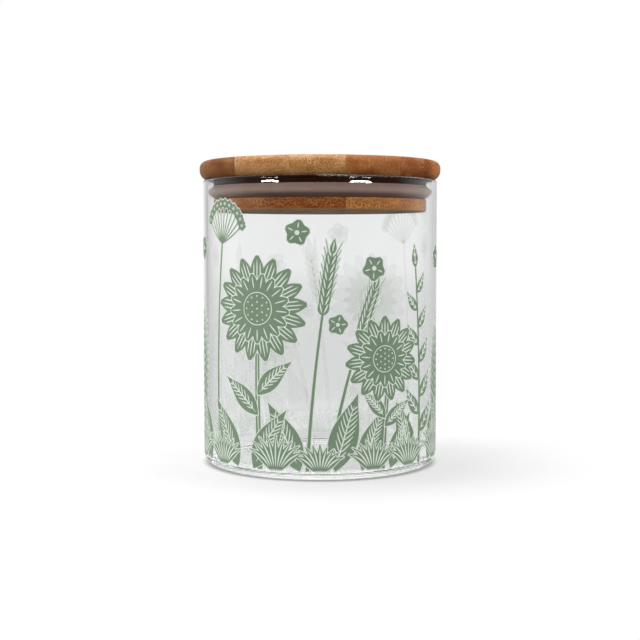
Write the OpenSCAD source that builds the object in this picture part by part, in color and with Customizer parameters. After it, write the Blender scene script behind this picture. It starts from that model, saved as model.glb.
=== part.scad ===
// Glass storage jar with a turned bamboo lid and a silicone lip seal.
// The jar stands on the XY plane, centred on the Z axis, with its lid pushed home.
// The lid is turned from one board of edge-glued bamboo strips, which run along Y.

/* [Glass jar] */
// Outside diameter of the glass
jar_d = 100; // [80:1:140]
// Height of the glass, from the table to its rim
jar_h = 120.5; // [70:0.5:220]
// Thickness of the wall
wall_t = 2; // [1.8:0.1:4]
// Thickness of the base, at the ring that the jar stands on
base_t = 3; // [2:0.1:6]
// Outside radius of the heel, where the wall turns into the base
heel_r = 4; // [2:0.1:6]
// Inside radius of the corner between the wall and the floor
floor_r = 3; // [1:0.1:6]
// Width of the flat ring that the jar stands on
foot_w = 6; // [3:0.5:12]
// Depth of the shallow dish inside that ring
dish_depth = 0.6; // [0.2:0.1:1.2]
// Radius of the fire-polished edges of the rim
rim_r = 0.8; // [0.3:0.1:0.9]

/* [Bamboo lid] */
// How far the lid stands out past the glass, all round
lid_overhang = 1.4; // [0:0.1:4]
// Thickness of the disc that covers the mouth
lid_t = 8.1; // [7.4:0.1:14]
// Radius of the disc's upper edge
lid_top_r = 3; // [1:0.1:4.2]
// Radius of the disc's lower edge, which sits on the rim
lid_under_r = 4.2; // [0.5:0.1:5.4]
// Clearance between the lid and the rim
seat_clearance = 0.06; // [0.02:0.01:0.2]
// Gap between the plug's side and the glass, which the seal's lip spans
plug_gap = 2.5; // [1.5:0.1:4]
// Depth of the plug below the disc
plug_depth = 13.3; // [10.5:0.1:20]
// Height of the neck between the disc and the seal
neck_h = 2.5; // [1:0.1:4]
// Thickness of the flange below the seal
flange_t = 5; // [2:0.1:6]
// Radius of the flange's lower edge
flange_r = 1; // [0.3:0.1:1.8]
// Depth of the groove that holds the seal
groove_depth = 2.5; // [1.5:0.1:5]
// Width of one bamboo strip
strip_w = 22; // [12:1:40]
// Place of one glue line, from the axis along X
glue_line_x = 10; // [-20:1:20]
// Narrowest strip that is left at the edge of the lid
strip_min_w = 5; // [3:0.5:10]

/* [Silicone seal] */
// Clearance of the seal in its groove, on every side
seal_clearance = 0.1; // [0.05:0.01:0.2]
// Clearance between the lip's nose and the glass
lip_clearance = 0.1; // [0.05:0.01:0.2]
// Radius of the lip's nose
nose_r = 1.1; // [0.3:0.05:1.2]
// Height of the lip's nose below the top of the seal
nose_drop = 2.4; // [1.5:0.1:3]
// Share of the groove's depth by which the seal's foot stands back under the lip
foot_share = 0.4; // [0:0.05:0.7]

/* [Hidden] */
$fn = 128;
// Extra length of a cut past the face that it goes through
cut_margin = 1;
// Steps in the curve of the dish under the base
dish_steps = 8;

jar_r = jar_d / 2;
bore_r = jar_r - wall_t;
dish_r = jar_r - heel_r - foot_w;

lid_r = jar_r + lid_overhang;
// Centres of the rounds that meet where the lid sits: on the rim's inner edge and under the disc
rim_edge = [bore_r + rim_r, jar_h - rim_r];
under_x = lid_r - lid_under_r;
seat_reach = rim_r + lid_under_r + seat_clearance;
// A lid with a small round rests flat on the rim, and one with a large round settles into the mouth
lid_z = under_x < rim_edge[0]
    ? rim_edge[1] + sqrt(pow(seat_reach, 2) - pow(rim_edge[0] - under_x, 2)) - lid_under_r
    : jar_h + seat_clearance;
plug_r = bore_r - plug_gap;
plug_z = lid_z - plug_depth;
groove_r = plug_r - groove_depth;
groove_z = plug_z + flange_t;
groove_h = plug_depth - neck_h - flange_t;
// How far the plug runs up inside the disc, so that the two are one piece of wood
plug_root = lid_t / 2;

seal_r = groove_r + seal_clearance;
seal_z = groove_z + seal_clearance;
seal_h = groove_h - 2 * seal_clearance;
foot_r = plug_r - foot_share * groove_depth;
lip_r = bore_r - lip_clearance;

// Glue lines lie one strip apart, and the board's edges end the outer strips
glue_reach = ceil(2 * lid_r / strip_w);
glue_lines = [
    for (k = [-glue_reach:glue_reach])
        let (x = glue_line_x + k * strip_w)
        if (abs(x) < lid_r - strip_min_w) x
];
strip_edges = concat([-lid_r - cut_margin], glue_lines, [lid_r + cut_margin]);
strip_count = len(strip_edges) - 1;

function strip_name(i) = str("bamboo_strip_", i);

glass_colour = [0.86, 0.93, 0.91, 0.35];
silicone_colour = [0.66, 0.58, 0.56];
bamboo_colours = [[0.62, 0.39, 0.20], [0.76, 0.55, 0.33], [0.72, 0.50, 0.29], [0.65, 0.41, 0.21]];

// Point where a line from p touches the circle at c with radius r. Side is 1 or -1.
function touch_point(p, c, r, side) =
    let (
        away = p - c,
        turn = atan2(away[1], away[0]) + side * acos(r / norm(away))
    )
    c + r * [cos(turn), sin(turn)];

// What rounding takes off a corner that points up and out, with the round's centre at the origin
module corner_waste(r) {
    difference() {
        square(r + cut_margin);
        circle(r);
    }
}

// Half-section of a disc with a rounded lower edge and, where above_r isn't 0, a rounded upper edge
module disc_section(r, h, below_r, above_r = 0) {
    difference() {
        square([r, h]);
        translate([r - below_r, below_r]) mirror([0, 1]) corner_waste(below_r);
        if (above_r > 0)
            translate([r - above_r, h - above_r]) corner_waste(above_r);
    }
}

// Half-section of the shallow dish under the base, highest on the axis
module dish_section() {
    rise = [for (i = [0:dish_steps]) let (t = 1 - i / dish_steps) [dish_r * t, dish_depth * (1 - t * t)]];
    polygon(concat([[0, -cut_margin], [dish_r, -cut_margin]], rise));
}

// Half-section of the space inside the jar, open past the rim
module bore_section() {
    translate([0, base_t]) disc_section(bore_r, jar_h - base_t + cut_margin, floor_r);
}

// One blown piece, open above
module glass_jar() {
    color(glass_colour)
        rotate_extrude()
            difference() {
                disc_section(jar_r, jar_h, heel_r, rim_r);
                bore_section();
                translate(rim_edge) mirror([1, 0]) corner_waste(rim_r);
                dish_section();
            }
}

// Half-section of the turned lid: the disc on the rim, and the grooved plug in the mouth
module lid_section() {
    translate([0, lid_z]) disc_section(lid_r, lid_t, lid_under_r, lid_top_r);
    difference() {
        translate([0, plug_z]) disc_section(plug_r, plug_depth + plug_root, flange_r);
        translate([groove_r, groove_z]) square([groove_depth + cut_margin, groove_h]);
    }
}

// One strip of the glued board, counted from the -X side
module bamboo_strip(i) {
    low = strip_edges[i - 1];
    high = strip_edges[i];
    color(bamboo_colours[i % len(bamboo_colours)])
        intersection() {
            rotate_extrude() lid_section();
            translate([low, -lid_r - cut_margin, plug_z - cut_margin])
                cube([high - low, 2 * (lid_r + cut_margin), plug_depth + lid_t + 2 * cut_margin]);
        }
}

// A band in the groove, with a lip that rises to a round nose against the glass
module seal_ring() {
    foot = [foot_r, seal_z];
    head = [plug_r, seal_z + seal_h];
    nose = [lip_r - nose_r, seal_z + seal_h - nose_drop];
    color(silicone_colour)
        rotate_extrude() {
            polygon([
                [seal_r, seal_z],
                foot,
                touch_point(foot, nose, nose_r, 1),
                nose,
                touch_point(head, nose, nose_r, -1),
                head,
                [seal_r, seal_z + seal_h]
            ]);
            translate(nose) circle(nose_r);
        }
}

glass_jar();
seal_ring();
for (i = [1:strip_count])
    bamboo_strip(i);
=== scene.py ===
"""Looks for the glass storage jar: clear glass with a printed meadow, a bamboo lid and a silicone seal."""

import math

import bpy
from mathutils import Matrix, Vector


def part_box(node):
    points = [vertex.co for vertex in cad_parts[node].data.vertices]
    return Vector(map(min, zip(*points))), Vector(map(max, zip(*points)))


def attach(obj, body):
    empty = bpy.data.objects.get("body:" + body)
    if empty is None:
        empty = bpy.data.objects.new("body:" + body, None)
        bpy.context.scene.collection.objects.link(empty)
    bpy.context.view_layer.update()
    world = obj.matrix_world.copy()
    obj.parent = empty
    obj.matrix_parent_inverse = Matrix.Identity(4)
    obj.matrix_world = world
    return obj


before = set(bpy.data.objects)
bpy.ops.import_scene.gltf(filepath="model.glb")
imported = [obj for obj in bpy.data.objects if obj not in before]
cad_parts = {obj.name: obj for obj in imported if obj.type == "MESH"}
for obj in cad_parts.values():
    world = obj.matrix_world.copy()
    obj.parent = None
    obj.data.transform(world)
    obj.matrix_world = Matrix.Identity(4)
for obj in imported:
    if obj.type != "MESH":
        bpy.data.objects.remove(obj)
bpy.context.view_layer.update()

MM = 0.001

# Sizes that the frame gives, in millimetres
WALL_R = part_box("glass_jar")[1].x / MM
GIRTH = 2 * math.pi * WALL_R
RIM_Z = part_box("glass_jar")[1].z / MM
SEAL_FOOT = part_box("seal_ring")[0].z / MM
SEAL_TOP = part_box("seal_ring")[1].z / MM
PLUG_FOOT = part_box("bamboo_strip_1")[0].z / MM
STRIPS = sorted(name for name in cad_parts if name.startswith("bamboo_strip_"))
STRIP_SPANS = {name: (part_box(name)[0].x / MM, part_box(name)[1].x / MM) for name in STRIPS}


# Node trees

class Shader:
    """Short calls that build the node tree of one material or world."""

    def __init__(self, owner, output="ShaderNodeOutputMaterial"):
        self.owner = owner
        owner.use_nodes = True
        self.tree = owner.node_tree
        self.tree.nodes.clear()
        self.output = self.node(output)

    def node(self, kind, sockets=None, **settings):
        """A new node: sockets takes values or outputs by name or number, and settings are its properties."""
        made = self.tree.nodes.new(kind)
        for key, value in settings.items():
            setattr(made, key, value)
        for key, value in (sockets or {}).items():
            self.put(made.inputs[key], value)
        return made

    def put(self, socket, value):
        if isinstance(value, bpy.types.NodeSocket):
            self.tree.links.new(value, socket)
        else:
            socket.default_value = value

    def math(self, operation, *values):
        return self.node("ShaderNodeMath", dict(enumerate(values)), operation=operation).outputs[0]

    def spread(self, value, low, high, to_low=0.0, to_high=1.0):
        """value from low to high, eased to the new range and held at its ends."""
        sockets = {"Value": value, "From Min": low, "From Max": high, "To Min": to_low, "To Max": to_high}
        return self.node("ShaderNodeMapRange", sockets, interpolation_type="SMOOTHSTEP").outputs[0]

    def vector(self, x, y, z):
        return self.node("ShaderNodeCombineXYZ", {0: x, 1: y, 2: z}).outputs[0]

    def noise(self, vector, scale, detail=2.0, roughness=0.5):
        """Soft noise from 0 to 1, with scale in waves per unit of the vector."""
        sockets = {"Vector": vector, "Scale": scale, "Detail": detail, "Roughness": roughness}
        return self.node("ShaderNodeTexNoise", sockets).outputs["Fac"]

    def blend(self, factor, first, second):
        """Two colours mixed by factor."""
        made = self.node("ShaderNodeMix", data_type="RGBA")
        for name, value in (("Factor_Float", factor), ("A_Color", first), ("B_Color", second)):
            socket = next(s for s in made.inputs if s.identifier == name)
            self.put(socket, value)
        return next(s for s in made.outputs if s.identifier == "Result_Color")

    def ramp(self, value, stops):
        """Colours by value, from a list of (place, colour)."""
        made = self.node("ShaderNodeValToRGB", {"Fac": value})
        for place, _ in stops[2:]:
            made.color_ramp.elements.new(place)
        for element, (place, colour) in zip(made.color_ramp.elements, stops):
            element.position = place
            element.color = colour
        return made.outputs["Color"]

    def place(self):
        """The surface's own place in the part's frame, in millimetres."""
        own = self.node("ShaderNodeTexCoord").outputs["Object"]
        return self.node("ShaderNodeVectorMath", {0: own, "Scale": 1 / MM}, operation="SCALE").outputs[0]

    def parts(self, vector):
        """The parts of a vector, as outputs named X, Y and Z."""
        return self.node("ShaderNodeSeparateXYZ", {0: vector}).outputs

    def bump(self, height, depth_mm, strength):
        """A normal from a height, where 1 stands for depth_mm."""
        sockets = {"Height": height, "Distance": depth_mm * MM, "Strength": strength}
        return self.node("ShaderNodeBump", sockets).outputs[0]

    def surface(self, **sockets):
        """A Principled surface, with each socket's spaces written as underscores."""
        named = {key.replace("_", " "): value for key, value in sockets.items()}
        return self.node("ShaderNodeBsdfPrincipled", named).outputs[0]

    def finish(self, surface, volume=None):
        self.put(self.output.inputs["Surface"], surface)
        if volume:
            self.put(self.output.inputs["Volume"], volume)
        return self.owner


def srgb(red, green, blue):
    """A colour as 0 to 255 on a screen, as the linear colour that shaders take."""
    def linear(level):
        share = level / 255
        return share / 12.92 if share <= 0.04045 else ((share + 0.055) / 1.055) ** 2.4

    return (linear(red), linear(green), linear(blue), 1.0)


# Materials

# Where most values of a noise lie, and the narrower span that a mottle takes
NOISE_SPAN = (0.3, 0.7)
MOTTLE_SPAN = (0.35, 0.65)
# Tints of clear glass, and of the lamps' light that it lets through from the table up to BASE_SHADE_H
CLEAR_TINTS = [(0.3, (0.97, 0.976, 0.974, 1)), (0.7, (0.978, 0.984, 0.982, 1))]
LAMP_TINTS = [(0.0, (0.7, 0.71, 0.71, 1)), (1.0, (0.9, 0.91, 0.91, 1))]
BASE_SHADE_H = 6.0
# What thick glass takes from the light inside it
MURK = {"Color": (0.75, 0.78, 0.77, 1), "Density": 5.0}
# Heights between which the fire-polished rim is tinted darker, as painted shade under the lid, and the tint
RIM_SHADE_FROM = (RIM_Z - 1.0, RIM_Z - 0.5)
RIM_SHADE_TINT = (0.52, 0.53, 0.53, 1)
# Tones of the seal by share of its height, painted with light and shade: dark at the foot, light below the
# nose as if light came through the thin lip, and darker at the nose
SEAL_LIT_TONES = (
    (0.0, (122, 102, 96)),
    (0.14, (136, 114, 108)),
    (0.3, (203, 171, 159)),
    (0.42, (203, 171, 159)),
    (0.54, (175, 147, 136)),
    (0.66, (158, 132, 122)),
    (0.84, (172, 144, 133)),
)
# Grey clouds in the silicone, and how much of it they cover
GREY_SILICONE = srgb(120, 100, 92)
CLOUD_SHARE = 0.12
SILICONE_ROUGHNESS = (0.36, 0.46)
INK_ROUGHNESS = (0.45, 0.6)
# Share of the print's pale ground that covers what is behind it, seen from inside the jar
GROUND_BACK = 0.1
# Bamboo fibres: waves per millimetre of each noise across the board, and its pace along it and upwards
WOBBLE_SCALE = 0.06
WOBBLE_ALONG = 0.4
FIBRE_SCALE = 1.5
FIBRE_ALONG = 0.02
TONE_SCALE = 0.13
TONE_ALONG = 0.05
TONE_UP = 1.6
# How far the fibres wobble, in millimetres, and how much fibres and broad tones change the colour
WOBBLE_REACH = 1.2
FIBRE_SHARE = 0.45
TONE_SHARE = 0.75
# Shades at which end grain and streaks take their dark, middle and light tones
GRAIN_STOPS = (0.38, 0.58, 0.78)
STREAK_STOPS = (0.3, 0.4, 0.5)
# Dots of cut fibres: shares of the pitch over which a dot fades, and the noise that crowds or thins them
DOT_FADE = (0.12, 0.55)
CROWD_SCALE = 0.09
CROWD_SPAN = (0.35, 0.6)
# Relief of the grain, in millimetres, the parts that fibres and dots have in it, and the oiled surface
GRAIN_DEPTH = 0.12
FIBRE_RELIEF = 0.4
DOT_RELIEF = 0.6
OILED_ROUGHNESS = (0.38, 0.56)
# Painted shade in the recess where the turned lid's plug meets the disc: heights between which the wood is
# darkened, and the dark colours painted there
RECESS_SHADE_FROM = (SEAL_TOP - 1.0, SEAL_TOP - 0.5)
RECESS_SHADE_TO = (RIM_Z - 0.2, RIM_Z + 0.3)
RECESS_SHADE_WOOD = (srgb(32, 11, 3), srgb(58, 26, 10))
# Glue lines: colour, distances over which a line fades, and how much of the wood it covers
GLUE = srgb(96, 56, 26)
GLUE_FADE = (0.05, 0.25)
GLUE_SHARE = 0.25
# Edges of strips farther out than this are the board's own, and hold no glue
GLUE_REACH = WALL_R - 2.0
# Distances across the board over which the end grain gives way to streaks along the disc's side
LONG_GRAIN_FROM = (WALL_R - 7.0, WALL_R - 2.0)
LONG_GRAIN_SHARE = 0.95
# Heights between which the plug's underside is left rough from the lathe, how rough, and a pale colour
# painted there as light thrown up from the floor
ROUGH_FROM = (PLUG_FOOT, PLUG_FOOT + 1.0)
ROUGH_LEVEL = 0.62
BOUNCE_LIGHT_BAMBOO = srgb(226, 186, 140)


def glass_material():
    """Clear blown glass: faintly grey where it is thick, tinted darker at the rim as painted shade, and open
    to the lamps.
    """
    s = Shader(bpy.data.materials.new("clear_glass"))
    place = s.place()
    height = s.parts(place)["Z"]
    tint = s.ramp(s.noise(place, 0.05), CLEAR_TINTS)
    clear = s.surface(
        # Painted shade: the glass near the top of the rim is tinted darker, under the lid
        Base_Color=s.blend(s.spread(height, *RIM_SHADE_FROM), tint, RIM_SHADE_TINT),
        Roughness=0.0,
        IOR=1.48,
        Transmission_Weight=1.0,
    )
    shade = s.ramp(s.spread(height, 0.0, BASE_SHADE_H), LAMP_TINTS)
    lamp_light = s.node("ShaderNodeBsdfTransparent", {"Color": shade}).outputs[0]
    is_shadow = s.node("ShaderNodeLightPath").outputs["Is Shadow Ray"]
    mixed = s.node("ShaderNodeMixShader", {0: is_shadow, 1: clear, 2: lamp_light}).outputs[0]
    return s.finish(mixed, s.node("ShaderNodeVolumeAbsorption", MURK).outputs[0])


def tone_stops(look, places):
    """The stops of a ramp from a look's dark tone to its light one."""
    return list(zip(places, (look["dark"], look["mid"], look["light"])))


def bamboo_grain(s, look):
    """Fibres along Y, which show as dots where the wood is cut across: (colour, fibres, dots)."""
    x, y, z = s.parts(s.place())
    seed = look["seed"]
    wobble = s.noise(s.vector(s.math("ADD", x, seed), s.math("MULTIPLY", y, WOBBLE_ALONG), z), WOBBLE_SCALE)
    slant = s.math("MULTIPLY", y, math.tan(math.radians(look["slant"])))
    across = s.math("ADD", s.math("ADD", x, slant), s.math("MULTIPLY_ADD", wobble, WOBBLE_REACH, seed))

    drawn_out = s.vector(across, s.math("MULTIPLY", y, FIBRE_ALONG), z)
    fibres = s.noise(drawn_out, FIBRE_SCALE, detail=3.0, roughness=0.6)
    bands = s.vector(across, s.math("MULTIPLY", y, TONE_ALONG), s.math("MULTIPLY", z, TONE_UP))
    tone = s.noise(bands, TONE_SCALE)
    shade = s.math("MULTIPLY_ADD", fibres, FIBRE_SHARE, s.math("MULTIPLY", tone, TONE_SHARE))
    ground = s.ramp(shade, tone_stops(look, GRAIN_STOPS))

    cells = s.node(
        "ShaderNodeTexVoronoi",
        {"Vector": s.vector(across, z, 0.0), "Scale": 1 / look["pitch"], "Randomness": 0.9},
        voronoi_dimensions="2D",
    )
    spots = s.spread(cells.outputs["Distance"], *DOT_FADE, 1.0, 0.0)
    crowd = s.spread(s.noise(s.vector(across, z, seed), CROWD_SCALE), *CROWD_SPAN, look["thin"], 1.0)
    dots = s.math("MULTIPLY", s.math("MULTIPLY", spots, crowd), look["contrast"])
    return s.blend(dots, ground, look["dot"]), fibres, dots


def bamboo_material(name, disc_look, plug_look):
    """One strip, with its own run of fibres in the disc and in the plug, painted shade in the recess between,
    and a pale colour painted on the plug's underside as light thrown up from the floor.
    """
    s = Shader(bpy.data.materials.new(name))
    parts = s.parts(s.place())
    across = parts["X"]
    height = parts["Z"]

    end_grain, fibres, dots = bamboo_grain(s, disc_look)
    long_grain = s.spread(s.math("ABSOLUTE", across), *LONG_GRAIN_FROM, 0.0, LONG_GRAIN_SHARE)
    streaks = s.ramp(fibres, tone_stops(disc_look, STREAK_STOPS))
    disc = s.blend(long_grain, end_grain, streaks)
    underside = s.spread(height, *ROUGH_FROM, 1.0, 0.0)
    turned = bamboo_grain(s, plug_look)[0]
    # Painted light: the plug's underside is blended to a pale colour that stands in for light from the floor
    # below
    plug = s.blend(underside, turned, s.blend(fibres, plug_look["light"], BOUNCE_LIGHT_BAMBOO))
    grained = s.blend(s.math("LESS_THAN", height, SEAL_TOP), disc, plug)

    glue_lines = [edge for edge in STRIP_SPANS[name] if abs(edge) < GLUE_REACH]
    gaps = [s.math("ABSOLUTE", s.math("SUBTRACT", across, edge)) for edge in glue_lines]
    seam = s.spread(s.math("MINIMUM", gaps[0], gaps[-1]), *GLUE_FADE, GLUE_SHARE, 0.0)
    glued = s.blend(seam, grained, GLUE)
    # Painted shade: the wood is darkened where the plug meets the disc, under the disc's overhang
    recess_shade = s.math("SUBTRACT", s.spread(height, *RECESS_SHADE_FROM), s.spread(height, *RECESS_SHADE_TO))
    colour = s.blend(recess_shade, glued, s.blend(fibres, *RECESS_SHADE_WOOD))

    raised = s.math("MULTIPLY", fibres, FIBRE_RELIEF)
    relief = s.math("SUBTRACT", raised, s.math("MULTIPLY", dots, DOT_RELIEF))
    oiled = s.spread(fibres, *NOISE_SPAN, *OILED_ROUGHNESS)
    wood = s.surface(
        Base_Color=colour,
        Roughness=s.math("MAXIMUM", oiled, s.math("MULTIPLY", underside, ROUGH_LEVEL)),
        Specular_IOR_Level=0.25,
        Normal=s.bump(relief, GRAIN_DEPTH, strength=0.5),
    )
    return s.finish(wood)


def silicone_material():
    """Milky silicone, a little uneven, with a satin skin and light and shade painted by height."""
    s = Shader(bpy.data.materials.new("milky_silicone"))
    place = s.place()
    rise = s.spread(s.parts(place)["Z"], SEAL_FOOT, SEAL_TOP)
    # Painted light and shade: the colour changes with height to stand in for shade at the foot and light
    # through the lip
    milky = s.ramp(rise, [(share, srgb(*tone)) for share, tone in SEAL_LIT_TONES])
    clouds = s.spread(s.noise(place, 0.12), *MOTTLE_SPAN, 0.0, CLOUD_SHARE)
    skin = s.surface(
        Base_Color=s.blend(clouds, milky, GREY_SILICONE),
        Roughness=s.spread(s.noise(place, 1.5), *NOISE_SPAN, *SILICONE_ROUGHNESS),
        Subsurface_Weight=0.25,
        Subsurface_Radius=(0.004, 0.003, 0.0025),
        Normal=s.bump(s.noise(place, 2.2), 0.02, strength=0.4),
    )
    return s.finish(skin)


def ink_material(name, low, high, back):
    """Screen-printed enamel with a faint mottle. Seen from inside the jar, only a share of it covers."""
    s = Shader(bpy.data.materials.new(name))
    place = s.place()
    fine = s.noise(place, 1.2, detail=3.0)
    broad = s.noise(place, 0.08)
    mottle = s.math("MULTIPLY_ADD", fine, 0.5, s.math("MULTIPLY", broad, 0.5))
    colour = s.ramp(mottle, list(zip(MOTTLE_SPAN, (low, high))))
    roughness = s.spread(s.noise(place, 0.9), *NOISE_SPAN, *INK_ROUGHNESS)
    ink = s.surface(Base_Color=colour, Roughness=roughness)
    clear = s.node("ShaderNodeBsdfTransparent").outputs[0]
    from_inside = s.node("ShaderNodeNewGeometry").outputs["Backfacing"]
    veil = s.math("MULTIPLY", from_inside, 1.0 - back)
    return s.finish(s.node("ShaderNodeMixShader", {0: veil, 1: ink, 2: clear}).outputs[0])


PALE_BAMBOO = {"light": srgb(212, 168, 114), "mid": srgb(190, 139, 86), "dark": srgb(165, 111, 61)}
WARM_BAMBOO = {"light": srgb(198, 137, 82), "mid": srgb(171, 107, 56), "dark": srgb(139, 78, 34)}
DARK_BAMBOO = {"light": srgb(154, 103, 58), "mid": srgb(130, 78, 37), "dark": srgb(106, 60, 25)}
AMBER_BAMBOO = {"light": srgb(222, 156, 88), "mid": srgb(200, 128, 64), "dark": srgb(170, 98, 42)}
RED_BAMBOO = {"light": srgb(192, 122, 64), "mid": srgb(156, 88, 40), "dark": srgb(122, 60, 25)}
RUST_BAMBOO = {"light": srgb(190, 124, 66), "mid": srgb(162, 92, 42), "dark": srgb(130, 66, 24)}
DEEP_DOT = srgb(92, 42, 14)
SOFT_DOT = srgb(122, 72, 32)


def bamboo_look(tones, dot, pitch, contrast, thin, slant, seed):
    """How wood looks: its tones, its dots' colour, pitch, contrast and least crowd, and its fibres' slant."""
    return dict(tones, dot=dot, pitch=pitch, contrast=contrast, thin=thin, slant=slant, seed=seed)


BAMBOO_LOOKS = {
    "bamboo_strip_1": (
        bamboo_look(DARK_BAMBOO, SOFT_DOT, pitch=1.0, contrast=0.5, thin=0.2, slant=-9, seed=11.0),
        bamboo_look(AMBER_BAMBOO, SOFT_DOT, pitch=1.2, contrast=0.3, thin=0.2, slant=6, seed=17.0),
    ),
    "bamboo_strip_2": (
        bamboo_look(PALE_BAMBOO, SOFT_DOT, pitch=0.8, contrast=0.7, thin=0.5, slant=2, seed=47.0),
        bamboo_look(RUST_BAMBOO, DEEP_DOT, pitch=1.2, contrast=0.8, thin=0.4, slant=4, seed=53.0),
    ),
    "bamboo_strip_3": (
        bamboo_look(PALE_BAMBOO, SOFT_DOT, pitch=0.8, contrast=0.75, thin=0.5, slant=0, seed=90.0),
        bamboo_look(RUST_BAMBOO, DEEP_DOT, pitch=0.9, contrast=0.9, thin=0.6, slant=0, seed=71.0),
    ),
    "bamboo_strip_4": (
        bamboo_look(WARM_BAMBOO, SOFT_DOT, pitch=0.8, contrast=0.6, thin=0.3, slant=3, seed=29.0),
        bamboo_look(AMBER_BAMBOO, SOFT_DOT, pitch=1.0, contrast=0.9, thin=0.6, slant=-3, seed=37.0),
    ),
    "bamboo_strip_5": (
        bamboo_look(RED_BAMBOO, DEEP_DOT, pitch=1.1, contrast=0.8, thin=0.3, slant=14, seed=66.0),
        bamboo_look(AMBER_BAMBOO, SOFT_DOT, pitch=1.1, contrast=0.9, thin=0.5, slant=16, seed=93.0),
    ),
}


def dress(piece, material):
    piece.data.materials.clear()
    piece.data.materials.append(material)


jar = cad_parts["glass_jar"]
dress(jar, glass_material())
# The glass doesn't shade the floor or the lid from soft light
jar.visible_diffuse = False
dress(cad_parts["seal_ring"], silicone_material())
for strip in STRIPS:
    dress(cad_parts[strip], bamboo_material(strip, *BAMBOO_LOOKS[strip]))


# Printed meadow: flat shapes on the unrolled wall, in millimetres, with x along the wall and y up

# Widths of the pale edge round the ink, and of a line cut into it
HALO = 0.35
CUT_W = 0.5
# Longest step between the points of a shape
GRID_STEP = 1.6
# Gaps from the glass to the first layer, and from each layer to the next
PRINT_GAP = 0.02
LAYER_GAP = 0.015
LAYERS = ("under", "ink", "cut")
# Height that the plants grow from
GROUND_Y = 4.0
# Levels of the print, from the glass outwards
FAR_LEVEL, NEAR_LEVEL, HEAD_LEVEL, HEART_LEVEL, EYE_LEVEL = range(5)


class Print:
    """The shapes of the print, kept as grids of points by level and layer."""

    def __init__(self):
        self.grids = {}
        self.level = FAR_LEVEL

    def ribbon(self, path, width, layer, spare=0.0):
        """A band along path, width(t) wide from t = 0 to t = 1, and wider by spare all round."""
        widest = max(width(k / 10) for k in range(11)) + 2 * spare
        lanes = max(1, math.ceil(widest / GRID_STEP))
        shares = [2 * j / lanes - 1 for j in range(lanes + 1)]
        rows = []
        ends = stretched(path, spare)
        last = len(ends) - 1
        for k, (x, y) in enumerate(ends):
            before = ends[max(k - 1, 0)]
            after = ends[min(k + 1, last)]
            reach = math.dist(before, after)
            side = ((before[1] - after[1]) / reach, (after[0] - before[0]) / reach)
            half = width(k / last) / 2 + spare
            rows.append([(x + side[0] * half * share, y + side[1] * half * share) for share in shares])
        self.grids.setdefault((self.level, layer), []).append(rows)

    def stroke(self, path, width):
        """An inked band with its pale edge."""
        self.ribbon(path, width, "under", HALO)
        self.ribbon(path, width, "ink")

    def cut(self, path, width=CUT_W):
        """A pale line cut into the ink, which tapers to both ends."""
        self.ribbon(path, lambda t: 0.12 + width * math.sin(math.pi * t) ** 0.6, "cut")

    def disc(self, centre, radius, layer):
        """A round spot, as a band across it."""
        steps = max(8, math.ceil(2 * radius / GRID_STEP) * 2)
        path = [(centre[0], centre[1] - radius * math.cos(math.pi * k / steps)) for k in range(steps + 1)]
        self.ribbon(path, lambda t: max(2 * radius * math.sin(math.pi * t), 0.03), layer)

    def spot(self, centre, radius):
        """An inked spot with its pale edge."""
        self.disc(centre, radius + HALO, "under")
        self.disc(centre, radius, "ink")


def stretched(path, spare):
    """path, longer by spare at both ends."""
    def push(tip, inner):
        reach = math.dist(tip, inner)
        return tuple(a + (a - b) / reach * spare for a, b in zip(tip, inner))

    return [push(path[0], path[1])] + path[1:-1] + [push(path[-1], path[-2])]


def polar(centre, turn, reach):
    """The point at reach from centre, turn degrees from straight up."""
    angle = math.radians(turn)
    return (centre[0] + math.sin(angle) * reach, centre[1] + math.cos(angle) * reach)


def arm(start, angle, length, bend=0.0):
    """A curve from start, which sets off at angle degrees from straight up and turns by bend degrees."""
    steps = max(6, math.ceil(length / GRID_STEP))
    points = [start]
    for k in range(steps):
        points.append(polar(points[-1], angle + bend * (k + 0.5) / steps, length / steps))
    return points


def along(path, share):
    """The point at a share of the path, and the path's angle there in degrees from straight up."""
    k = min(int(share * (len(path) - 1)), len(path) - 2)
    rest = share * (len(path) - 1) - k
    a, b = path[k], path[k + 1]
    point = (a[0] + (b[0] - a[0]) * rest, a[1] + (b[1] - a[1]) * rest)
    return point, math.degrees(math.atan2(b[0] - a[0], b[1] - a[1]))


def leaf(ink, start, angle, length, width, bend=0.0, veins=0):
    """A pointed leaf with a cut midrib and side veins."""
    def blade(t):
        return 0.15 + width * math.sin(math.pi * t ** 0.75) ** 1.2

    path = arm(start, angle, length, bend)
    ink.stroke(path, blade)
    rib = path[max(1, len(path) // 8):-max(1, len(path) // 6)]
    if len(rib) > 2:
        ink.cut(rib)
    for k in range(veins):
        share = 0.16 + 0.62 * k / max(1, veins - 1)
        point, facing = along(path, share)
        for side in (-1, 1):
            vein = arm(point, facing + side * 40, length=0.55 * blade(share), bend=-side * 14)
            ink.cut(vein, width=0.38)


def stem(ink, start, angle, length, bend=0.0, thick=1.6, thin=0.8):
    """A stalk that tapers upwards, with a cut line where it is thick. It returns its path."""
    path = arm(start, angle, length, bend)
    ink.stroke(path, lambda t: thick + (thin - thick) * t)
    if thick > 1.8:
        ink.cut(path[1:-1], width=0.3)
    return path


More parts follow.
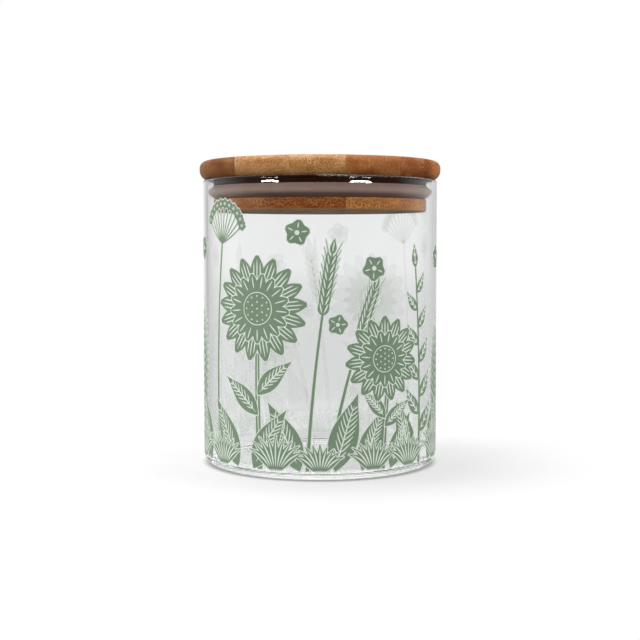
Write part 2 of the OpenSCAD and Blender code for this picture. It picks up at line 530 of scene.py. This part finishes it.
def petal_row(ink, centre, petals, root, reach, offset, cuts):
    """Petals around centre from root to reach, each with cut lines at shares of its width."""
    width = 2 * math.pi * reach / petals * 0.8

    def blade(t):
        return 0.3 + (width - 0.3) * math.sin(math.pi * min(0.97, 0.1 + 0.9 * t ** 1.5)) ** 0.7

    for k in range(petals):
        turn = 360 * (k + offset) / petals
        ink.stroke(arm(polar(centre, turn, root), turn, reach - root), blade)
        for share in cuts:
            low = root + (reach - root) * (0.35 + 0.3 * abs(share))
            high = reach - (reach - root) * (0.1 + 0.35 * abs(share))
            start = polar(polar(centre, turn, low), turn + 90, width * share)
            ink.cut(arm(start, turn, high - low), width=0.4)


def daisy(ink, centre, radius, petals):
    """A round flower: two rows of petals, and an eye with rings of dots."""
    eye = radius * 0.3
    ink.level = HEAD_LEVEL
    root = eye * 0.8
    petal_row(ink, centre, petals, root, reach=radius, offset=0.0, cuts=(-0.24, 0.0, 0.24))
    ink.level = HEART_LEVEL
    petal_row(ink, centre, petals, root, reach=radius * 0.66, offset=0.5, cuts=(0.0,))
    ink.level = EYE_LEVEL
    ink.spot(centre, eye)
    for ring, count in ((0.0, 1), (0.42, 6), (0.8, 12)):
        for k in range(count):
            ink.disc(polar(centre, 360 * k / count, eye * ring), radius=0.34, layer="cut")


def fern(ink, start, angle, length, bend, reach):
    """A frond: pairs of narrow leaflets that shorten to the tip."""
    path = stem(ink, start, angle, length, bend, thick=1.2, thin=0.5)
    pairs = round(length / 4.2)
    for k in range(pairs):
        share = 0.14 + 0.82 * k / pairs
        point, facing = along(path, share)
        size = reach * math.sin(math.pi * (0.22 + 0.76 * share)) ** 0.8
        for side in (-1, 1):
            leaf(ink, point, facing + side * 58, size, width=size * 0.24, bend=-side * 22)
    tip, facing = along(path, 1.0)
    leaf(ink, tip, facing, length=reach * 0.28, width=reach * 0.1)


def sprig(ink, start, angle, length, bend, leaves, size):
    """A stalk with leaves by turns on its two sides."""
    path = stem(ink, start, angle, length, bend)
    for k in range(leaves):
        share = 0.16 + 0.8 * k / leaves
        point, facing = along(path, share)
        side = -1 if k % 2 else 1
        reach = size * (1 - 0.45 * share)
        leaf(ink, point, facing + side * 48, reach, width=reach * 0.4, bend=-side * 20, veins=4)
    tip, facing = along(path, 1.0)
    leaf(ink, tip, facing, length=size * 0.6, width=size * 0.24, veins=3)


def barley(ink, start, angle, length, bend, grains=7):
    """A bearded ear on a long stalk."""
    path = stem(ink, start, angle, length, bend, thick=1.3, thin=0.7)
    for k in range(grains):
        point, facing = along(path, 0.72 + 0.26 * k / grains)
        for side in (-1, 1):
            beard = arm(point, facing + side * 14, length=11, bend=side * 8)
            ink.stroke(beard, lambda t: 0.4 - 0.2 * t)
            leaf(ink, point, facing + side * 24, length=6.2, width=2.5, bend=-side * 14)
    tip, facing = along(path, 1.0)
    leaf(ink, tip, facing, length=6.4, width=2.4)


def umbel(ink, start, angle, length, bend, rays, reach):
    """A flat-topped head of small round flowers on thin rays."""
    path = stem(ink, start, angle, length, bend, thick=1.4, thin=0.9)
    crown, facing = along(path, 1.0)
    for k in range(rays):
        share = 2 * k / (rays - 1) - 1
        ray = arm(crown, facing + 66 * share, reach * (1 - 0.12 * share * share), -26 * share)
        ink.stroke(ray, lambda t: 0.6 - 0.15 * t)
        tip, turned = along(ray, 1.0)
        for j in range(6):
            ink.spot(polar(tip, turned + 60 * j, reach=1.4), radius=0.75)
        ink.spot(tip, radius=0.6)
        ink.disc(tip, radius=0.4, layer="cut")


def tuft(ink, start, blades, height, splay):
    """Blades of grass from one root."""
    for k in range(blades):
        share = 2 * k / (blades - 1) - 1
        size = height * (1 - 0.35 * abs(share)) * (0.86 + 0.14 * math.cos(7.0 * k))
        root = (start[0] + 2.2 * share, start[1])
        leaf(ink, root, splay * share * 0.5, size, width=2.6, bend=splay * share)


def blossom(ink, centre, radius, turn):
    """A small flower of five round petals, adrift."""
    def blade(t):
        return 0.3 + 0.95 * radius * math.sin(math.pi * min(0.95, 0.12 + 0.88 * t ** 1.3)) ** 0.8

    for k in range(5):
        path = arm(centre, turn + 72 * k, radius)
        ink.stroke(path, blade)
        ink.cut(path[len(path) // 3:-1], width=0.4)
    ink.disc(centre, radius * 0.2, "cut")


def meadow(ink, shift):
    """One half of the print, shift millimetres along the wall."""
    def at(x, y=GROUND_Y):
        return (x + shift, y)

    def broad_leaves(places):
        for x, angle, length in places:
            leaf(ink, at(x), angle, length, width=length * 0.36, bend=0.4 * angle, veins=9)

    ink.level = FAR_LEVEL
    umbel(ink, at(-48), angle=-4, length=90, bend=11, rays=11, reach=16)
    sprig(ink, at(47), angle=2, length=80, bend=-8, leaves=9, size=16)
    for x, angle, length, bend, reach in ((-70, -4, 66, 14, 14), (66, 8, 58, -16, 14)):
        fern(ink, at(x), angle, length, bend, reach)
    for x, angle, length, bend in ((-5, 3, 86, 7), (3, 10, 74, 10)):
        barley(ink, at(x), angle, length, bend)
    tall = stem(ink, at(-25), angle=-3, length=54, bend=4, thick=2.4, thin=1.9)
    short = stem(ink, at(26), angle=3, length=34, bend=3, thick=2.4, thin=1.9)
    broad_leaves([(-56, -20, 32), (-8, -22, 30), (17, 18, 26), (55, 24, 34)])

    ink.level = NEAR_LEVEL
    shoots = ((tall, 0.4, -1, 22), (tall, 0.55, 1, 20), (short, 0.5, 1, 16), (short, 0.6, -1, 15))
    for stalk, share, side, size in shoots:
        point, facing = along(stalk, share)
        leaf(ink, point, facing + side * 42, size, width=size * 0.36, bend=side * 12, veins=7)
    broad_leaves([(-36, -24, 30), (-28, 26, 28), (6, 14, 32), (30, 22, 24), (42, -16, 28), (72, -20, 30)])

    ink.level = HEAD_LEVEL
    for x, height in ((-66, 22), (-45, 18), (-18, 20), (0, 15), (22, 17), (40, 18), (62, 22)):
        tuft(ink, at(x), blades=9, height=height, splay=52)
    adrift = ((-9, 98, 5, 10), (22, 84, 5, 40), (-66, 92, 5, 25), (66, 88, 5, 0), (7, 62, 4, 15))
    for x, y, radius, turn in adrift:
        blossom(ink, at(x, y), radius, turn)
    daisy(ink, at(-26, 68), radius=21, petals=17)
    daisy(ink, at(27, 48), radius=17, petals=15)


def wrapped(x, y, radius):
    """A flat point on the wall, in metres, with x = 0 at the front."""
    turn = x / WALL_R
    return (radius * math.sin(turn) * MM, -radius * math.cos(turn) * MM, y * MM)


def print_piece(name, ink, level, layer, material):
    """One layer of the print as a thin sheet around the glass."""
    radius = WALL_R + PRINT_GAP + LAYER_GAP * (level * len(LAYERS) + LAYERS.index(layer))
    vertices = []
    faces = []
    for rows in ink.grids.get((level, layer), []):
        columns = len(rows[0])
        first = len(vertices)
        vertices += [wrapped(x, y, radius) for row in rows for x, y in row]
        for i in range(len(rows) - 1):
            for j in range(columns - 1):
                corner = first + i * columns + j
                faces.append((corner, corner + columns, corner + columns + 1, corner + 1))
    mesh = bpy.data.meshes.new(name)
    mesh.from_pydata(vertices, [], faces)
    piece = bpy.data.objects.new(name, mesh)
    bpy.context.scene.collection.objects.link(piece)
    dress(piece, material)
    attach(piece, "jar")


SAGE = (srgb(121, 144, 118), srgb(133, 155, 129))
MINT = (srgb(226, 238, 224), srgb(236, 245, 234))
INKS = {
    "under": ink_material("mint_ground", *MINT, GROUND_BACK),
    "ink": ink_material("sage_ink", *SAGE, 0.0),
    "cut": ink_material("mint_line", *MINT, 0.0),
}

design = Print()
for half in range(2):
    meadow(design, half * GIRTH / 2)
for level, layer in sorted(design.grids):
    print_piece(f"print_{layer}_{level + 1}", design, level, layer, INKS[layer])


# Stage

# Half the floor's width, and how far it lies below the foot, in metres
FLOOR_HALF = 4.0
FLOOR_DROP = 0.0002
# Shares of white: the floor in the picture, the light that it throws on the part, and its own glow
FLOOR_SEEN = 0.45
FLOOR_BOUNCE = 0.05
FLOOR_LIFT = 0.325
# Shares of the floor's level seen through the glass, close to the jar and where it has turned white, which
# paint shade on the floor behind the jar
THROUGH_NEAR = 0.78
THROUGH_FAR = 0.82
# Distances from the axis, in millimetres, over which the floor turns white or ends
CAMERA_FADE = (90.0, 210.0)
THROUGH_FADE = (120.0, 420.0)
THROUGH_REACH = (400.0, 4000.0)
MIRROR_FADE = (60.0, 130.0)
# Distances over which a shadow is painted on the floor under the jar's heel, and the share of its level left
# there
HEEL_SHADOW_FADE = (WALL_R - 3.0, WALL_R + 1.5)
HEEL_SHADOW_LEVEL = 0.4
# Camera, from its fit to the outline of the jar: metres, degrees downwards and millimetres
CAMERA_PLACE = (0.0, -0.518, 0.095)
CAMERA_PITCH = 3.8
CAMERA_LENS = 67.5
SENSOR_W = 36.0
# World: the way to the middle of the white sweep, and how fast the sweep falls off
SWEEP_AIM = (-0.07, 0.9975, 0.0)
SWEEP_FALL = 7.0
# Levels of the dim room and of the grey card at its left, and the share of them that stays higher up
ROOM_LEVEL = 0.04
CARD_LEVEL = 0.3
CARD_ABOVE = 0.15
# Levels of soft light from behind and from the sides
FILL_LEVEL = 1.0
SIDE_LEVEL = 1.9
# What rays reflected inside the glass meet: levels from left to right, and then, for rays reflected once
# and for rays reflected more often, levels higher up and shares of them on the viewer's side
INNER_LEVELS = (0.58, 0.8)
RISING_LEVELS = (0.9, 2.0)
NEAR_SHARES = (0.03, 0.8)
# Spans over which a level changes, as parts of a way of length 1
SIDE_SPAN = (0.6, 0.95)
CARD_SPAN = (0.0, 0.05)
TURN_SPAN = (-0.3, 0.3)
RISE_SPAN = (0.02, 0.15)
BACK_SPAN = (-0.5, 0.2)
# Lamps, in metres: a large one above, and at each side a softbox that reflections leave out, with a sill
# in front of its foot and a bright strip below it, which they show
TOP_PLACE = (-0.2, 0.1, 1.5)
TOP_TARGET = (0, 0, 0.1)
TOP_WIDTH = 0.9
TOP_RADIANCE = 6.2
LAMP_REACH = 1.5
BOX_SETBACK = 0.02
BOX_LOW = 0.1952
BOX_HIGH = 0.75
SILL_HIGH = 0.215
STRIP_RADIANCE = 40.0
SILL_RADIANCE = 11.0
# Side, azimuth, width and radiance of each softbox, and the heights of the strip below it
SIDE_LAMPS = (
    ("left", -48, 0.45, 12.5, 0.1881, 0.1917),
    ("right", 38.5, 0.56, 10.5, 0.1871, 0.1907),
)
# Bounces of light: in glass, and of every kind
GLASS_BOUNCES = 48
ALL_BOUNCES = 64


def seen_through(s, path):
    """1 for rays that come straight through the glass, without a reflection on the way."""
    return s.math("MULTIPLY", path["Is Transmission Ray"], s.math("LESS_THAN", path["Glossy Depth"], 0.5))


def floor_piece():
    """A matt pale floor that keeps the shadow, with a painted shadow under the heel and painted shade where
    it is seen through the glass. Far off it is white, and left out of reflections.
    """
    s = Shader(bpy.data.materials.new("pale_floor"))
    distance = s.node("ShaderNodeVectorMath", {0: s.place()}, operation="LENGTH").outputs["Value"]
    path = s.node("ShaderNodeLightPath").outputs
    through = seen_through(s, path)
    straight = s.math("MAXIMUM", path["Is Camera Ray"], through)
    seen = s.math("MAXIMUM", straight, path["Is Glossy Ray"])
    mirrored = s.math("SUBTRACT", seen, straight)
    # Painted shadow on the floor under the jar's heel, which only the camera sees
    heel_shadow = s.spread(distance, *HEEL_SHADOW_FADE, HEEL_SHADOW_LEVEL, 1.0)
    foot = s.math("MAXIMUM", heel_shadow, s.math("SUBTRACT", 1.0, path["Is Camera Ray"]))
    # Painted shade: the floor seen through the glass is darker than where it is seen straight
    behind = s.math("MULTIPLY_ADD", through, THROUGH_NEAR - 1.0, 1.0)
    shade = s.math("MULTIPLY", seen, s.math("MULTIPLY", foot, behind))

    tone = s.math("MULTIPLY_ADD", shade, FLOOR_SEEN - FLOOR_BOUNCE, FLOOR_BOUNCE)
    matt = s.node("ShaderNodeBsdfDiffuse", {"Color": tone}).outputs[0]
    lift = s.node("ShaderNodeEmission", {"Strength": s.math("MULTIPLY", shade, FLOOR_LIFT)}).outputs[0]
    near = s.node("ShaderNodeAddShader", {0: matt, 1: lift}).outputs[0]
    # Painted shade: the white floor far behind is dimmed where it is seen through the glass
    dimming = s.spread(distance, *THROUGH_REACH, 1.0 - THROUGH_FAR, 0.0)
    strength = s.math("SUBTRACT", 1.0, s.math("MULTIPLY", through, dimming))
    white = s.node("ShaderNodeEmission", {"Strength": strength}).outputs[0]
    gone = s.node("ShaderNodeBsdfTransparent").outputs[0]
    far = s.node("ShaderNodeMixShader", {0: mirrored, 1: white, 2: gone}).outputs[0]

    fades = ((path["Is Camera Ray"], CAMERA_FADE), (through, THROUGH_FADE), (mirrored, MIRROR_FADE))
    fade = 0.0
    for rays, reach in fades:
        fade = s.math("MULTIPLY_ADD", rays, s.spread(distance, *reach), fade)
    material = s.finish(s.node("ShaderNodeMixShader", {0: fade, 1: near, 2: far}).outputs[0])
    mesh = bpy.data.meshes.new("floor")
    corners = [(-1, -1), (1, -1), (1, 1), (-1, 1)]
    mesh.from_pydata([(FLOOR_HALF * a, FLOOR_HALF * b, -FLOOR_DROP) for a, b in corners], [], [(0, 1, 2, 3)])
    floor = bpy.data.objects.new("floor", mesh)
    bpy.context.scene.collection.objects.link(floor)
    dress(floor, material)


def backdrop_world():
    """White where the picture looks straight out. As light, a white sweep behind, cards and a dim room."""
    world = bpy.data.worlds.new("studio")
    bpy.context.scene.world = world
    s = Shader(world, "ShaderNodeOutputWorld")
    path = s.node("ShaderNodeLightPath").outputs
    straight = s.math("MAXIMUM", path["Is Camera Ray"], seen_through(s, path))
    way = s.node("ShaderNodeTexCoord").outputs["Generated"]
    parts = s.parts(way)
    across = parts["X"]
    up = parts["Z"]
    facing = s.node("ShaderNodeVectorMath", {0: way, 1: SWEEP_AIM}, operation="DOT_PRODUCT").outputs["Value"]
    sweep = s.math("POWER", s.math("MAXIMUM", facing, 0.0), SWEEP_FALL)
    card = s.spread(across, -SIDE_SPAN[0], -SIDE_SPAN[1], ROOM_LEVEL, CARD_LEVEL)
    low_card = s.math("MULTIPLY", card, s.spread(up, *CARD_SPAN, 1.0, CARD_ABOVE))
    entered = s.math("GREATER_THAN", path["Transmission Depth"], 0.5)
    in_glass = s.math("MULTIPLY", entered, path["Is Glossy Ray"])
    often = s.math("GREATER_THAN", path["Glossy Depth"], 1.5)
    flat = s.spread(across, *TURN_SPAN, *INNER_LEVELS)
    rising = s.spread(up, *RISE_SPAN, flat, s.spread(often, 0.0, 1.0, *RISING_LEVELS))
    ahead = s.spread(facing, *TURN_SPAN, s.spread(often, 0.0, 1.0, *NEAR_SHARES), 1.0)
    inside = s.math("MULTIPLY", s.math("MULTIPLY", in_glass, rising), ahead)
    sides = s.spread(s.math("ABSOLUTE", across), *SIDE_SPAN, 0.0, SIDE_LEVEL)
    around_back = s.spread(facing, *BACK_SPAN, 0.0, FILL_LEVEL)
    fill = s.math("MULTIPLY", path["Is Diffuse Ray"], s.math("ADD", around_back, sides))
    room = s.math("MAXIMUM", s.math("MAXIMUM", sweep, fill), s.math("MAXIMUM", low_card, inside))
    level = s.math("MAXIMUM", straight, room)
    s.finish(s.node("ShaderNodeBackground", {"Color": (1, 1, 1, 1), "Strength": level}).outputs[0])


def area_lamp(name, place, target, width, height, radiance):
    """A lamp of an even radiance, turned to its target and not seen through the glass."""
    lamp = bpy.data.lights.new(name, "AREA")
    lamp.shape = "RECTANGLE"
    lamp.size = width
    lamp.size_y = height
    lamp.energy = radiance * width * height * math.pi
    piece = bpy.data.objects.new(name, lamp)
    piece.location = place
    aim = Vector(target) - Vector(place)
    piece.rotation_euler = aim.to_track_quat("-Z", "Y").to_euler()
    piece.visible_transmission = False
    bpy.context.scene.collection.objects.link(piece)
    return piece


def softbox(name, azimuth, width, low, high, radiance, mirrored=True):
    """An upright lamp round the jar, with azimuth 0 in front, from one height to another."""
    turn = math.radians(azimuth)
    middle = (low + high) / 2
    reach = LAMP_REACH if mirrored else LAMP_REACH + BOX_SETBACK
    place = (reach * math.sin(turn), -reach * math.cos(turn), middle)
    piece = area_lamp(name, place, (0, 0, middle), width, high - low, radiance)
    piece.visible_glossy = mirrored


def camera():
    """The viewpoint of the main picture."""
    lens = bpy.data.cameras.new("camera")
    lens.lens = CAMERA_LENS
    lens.sensor_width = SENSOR_W
    piece = bpy.data.objects.new("camera", lens)
    piece.location = CAMERA_PLACE
    piece.rotation_euler = (math.radians(90 - CAMERA_PITCH), 0, 0)
    bpy.context.scene.collection.objects.link(piece)
    bpy.context.scene.camera = piece


floor_piece()
backdrop_world()
camera()
for side, azimuth, width, radiance, strip_low, strip_high in SIDE_LAMPS:
    softbox(f"{side}_softbox", azimuth, width, BOX_LOW, BOX_HIGH, radiance, mirrored=False)
    softbox(f"{side}_strip", azimuth, width, strip_low, strip_high, STRIP_RADIANCE)
    softbox(f"{side}_sill", azimuth, width, BOX_LOW, SILL_HIGH, SILL_RADIANCE)
area_lamp("top_softbox", TOP_PLACE, TOP_TARGET, TOP_WIDTH, TOP_WIDTH, TOP_RADIANCE)

cycles = bpy.context.scene.cycles
cycles.max_bounces = ALL_BOUNCES
cycles.transparent_max_bounces = ALL_BOUNCES
cycles.glossy_bounces = GLASS_BOUNCES
cycles.transmission_bounces = GLASS_BOUNCES
bpy.context.scene.view_settings.view_transform = "Standard"
